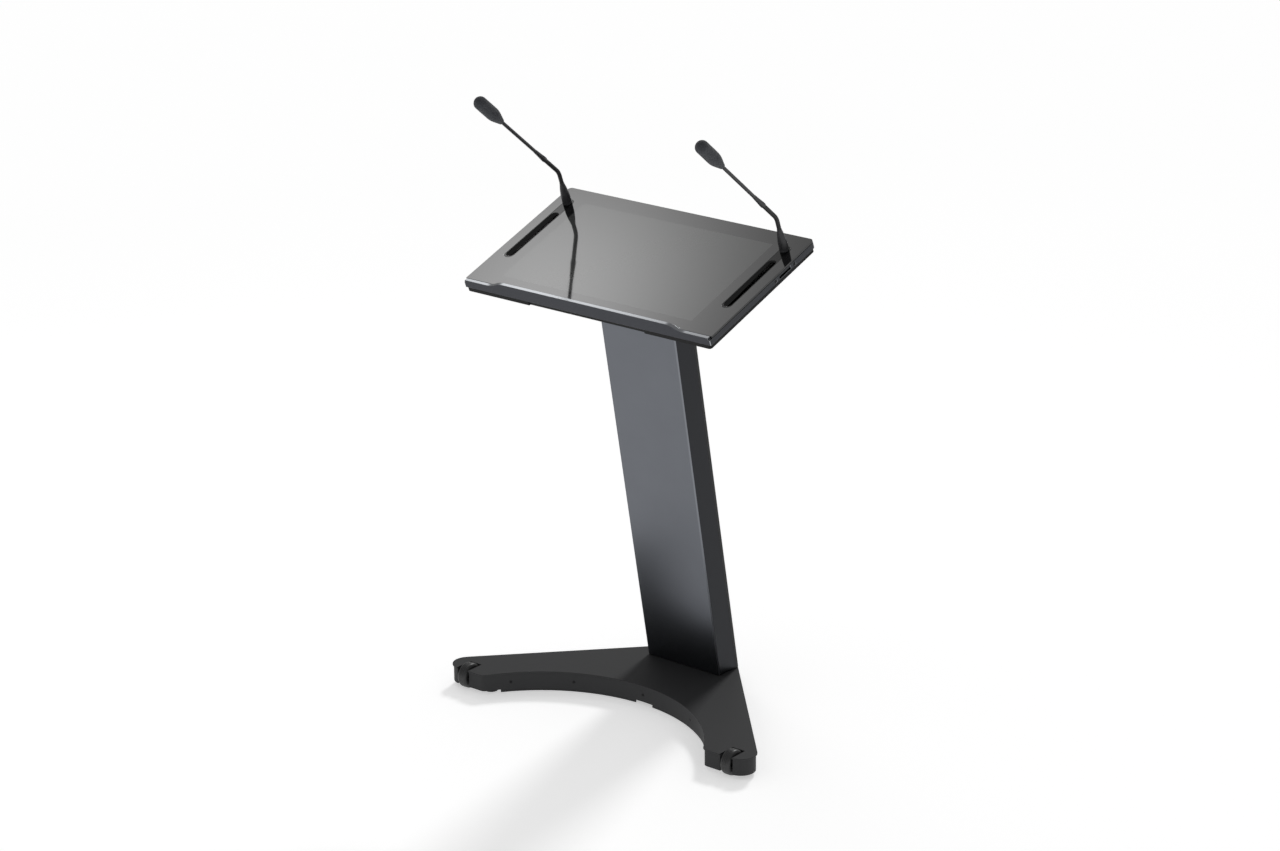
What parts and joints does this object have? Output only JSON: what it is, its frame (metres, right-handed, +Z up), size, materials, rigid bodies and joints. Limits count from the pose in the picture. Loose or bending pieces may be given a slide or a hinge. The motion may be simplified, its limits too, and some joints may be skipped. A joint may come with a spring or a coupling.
{
  "type": "presentation lectern",
  "caption": "Presentation lectern: leaning column on a wheeled V-shaped base, tilted glass desk with a built-in display, pen grooves and gooseneck microphones.",
  "frame": {"origin": "on the floor, at the middle of the lectern's footprint", "axes": "+Z up; the presenter stands on the -Y side and faces +Y, towards the audience; +X is to the presenter's right"},
  "size_m": [0.8612, 0.472, 1.3944],
  "materials": {
    "painted_body": "fine-textured dark grey paint",
    "anodised": "dark grey satin anodised",
    "black_plastic": "matt black",
    "black_screw": "blackened",
    "glass": "clear, over a dark display",
    "rubber": "matt black",
    "tyre": "smooth dark grey tread",
    "steel": "plain",
    "neck": "black sleeve",
    "foam": "dark grey open foam",
    "circuit_board": "green solder mask"
  },
  "bodies": {
    "stand": {"base_top_plate": "painted_body", "base_rim": "painted_body", "arc_skirt": "painted_body", "left_ballast": "steel", "right_ballast": "steel", "column_anchor": "steel", "left_flange_bolt": "steel", "right_flange_bolt": "steel", "front_left_foot": "rubber", "front_right_foot": "rubber", "rear_left_foot": "rubber", "rear_right_foot": "rubber", "rim_screw_1": "black_screw", "rim_screw_2": "black_screw", "rim_screw_3": "black_screw", "rim_screw_4": "black_screw", "rim_screw_5": "black_screw", "power_inlet": "black_plastic", "left_wheel_axle": "steel", "right_wheel_axle": "steel", "column_profile": "anodised", "column_rear_panel": "painted_body", "column_gasket": "rubber", "column_head": "steel", "power_supply": "black_plastic", "mains_cable": "rubber", "desk_frame": "anodised", "glass_panel": "glass", "glass_gasket": "rubber", "left_pen_tray": "black_plastic", "right_pen_tray": "black_plastic", "underside_shell": "black_plastic", "display_module": "black_plastic", "main_board": "circuit_board", "port_module": "black_plastic", "port_screw_front": "black_screw", "port_screw_rear": "black_screw", "desk_bracket": "steel", "left_mic_base": "anodised", "left_neck_lower": "neck", "right_mic_base": "anodised", "right_neck_lower": "neck"},
    "left_wheel": {"left_tyre": "tyre", "left_wheel_hub": "black_plastic"},
    "right_wheel": {"right_tyre": "tyre", "right_wheel_hub": "black_plastic"},
    "rocker": {"power_rocker": "black_plastic"},
    "left_neck": {"left_neck_middle": "neck"},
    "right_neck": {"right_neck_middle": "neck"},
    "left_mic": {"left_neck_upper": "neck", "left_mic_collar": "anodised", "left_mic_rod": "anodised", "left_mic_capsule": "black_plastic", "left_windscreen": "foam"},
    "right_mic": {"right_neck_upper": "neck", "right_mic_collar": "anodised", "right_mic_rod": "anodised", "right_mic_capsule": "black_plastic", "right_windscreen": "foam"}
  },
  "joints": [
    {"name": "left_wheel_spin", "type": "hinge", "parent": "stand", "child": "left_wheel", "pos_m": [-0.3805, -0.2026, 0.0294], "axis": [1, 0, 0], "continuous": true},
    {"name": "right_wheel_spin", "type": "hinge", "parent": "stand", "child": "right_wheel", "pos_m": [0.3805, -0.2026, 0.0294], "axis": [1, 0, 0], "continuous": true},
    {"name": "power_switch", "type": "hinge", "parent": "stand", "child": "rocker", "pos_m": [0.0145, 0.0559, 0.03], "axis": [-1, 0, 0], "range_deg": [0, 14]},
    {"name": "left_neck_bend", "type": "hinge", "parent": "stand", "child": "left_neck", "pos_m": [-0.303, 0.04611, 1.17394], "axis": [1, 0, 0], "range_deg": [-45, 35]},
    {"name": "left_neck_sway", "type": "hinge", "parent": "left_neck", "child": "left_mic", "pos_m": [-0.303, 0.02208, 1.19354], "axis": [0, 0.632, 0.7749], "range_deg": [-40, 40]},
    {"name": "right_neck_bend", "type": "hinge", "parent": "stand", "child": "right_neck", "pos_m": [0.303, 0.04611, 1.17394], "axis": [1, 0, 0], "range_deg": [-45, 35]},
    {"name": "right_neck_sway", "type": "hinge", "parent": "right_neck", "child": "right_mic", "pos_m": [0.303, 0.02208, 1.19354], "axis": [0, 0.632, 0.7749], "range_deg": [-40, 40]}
  ]
}
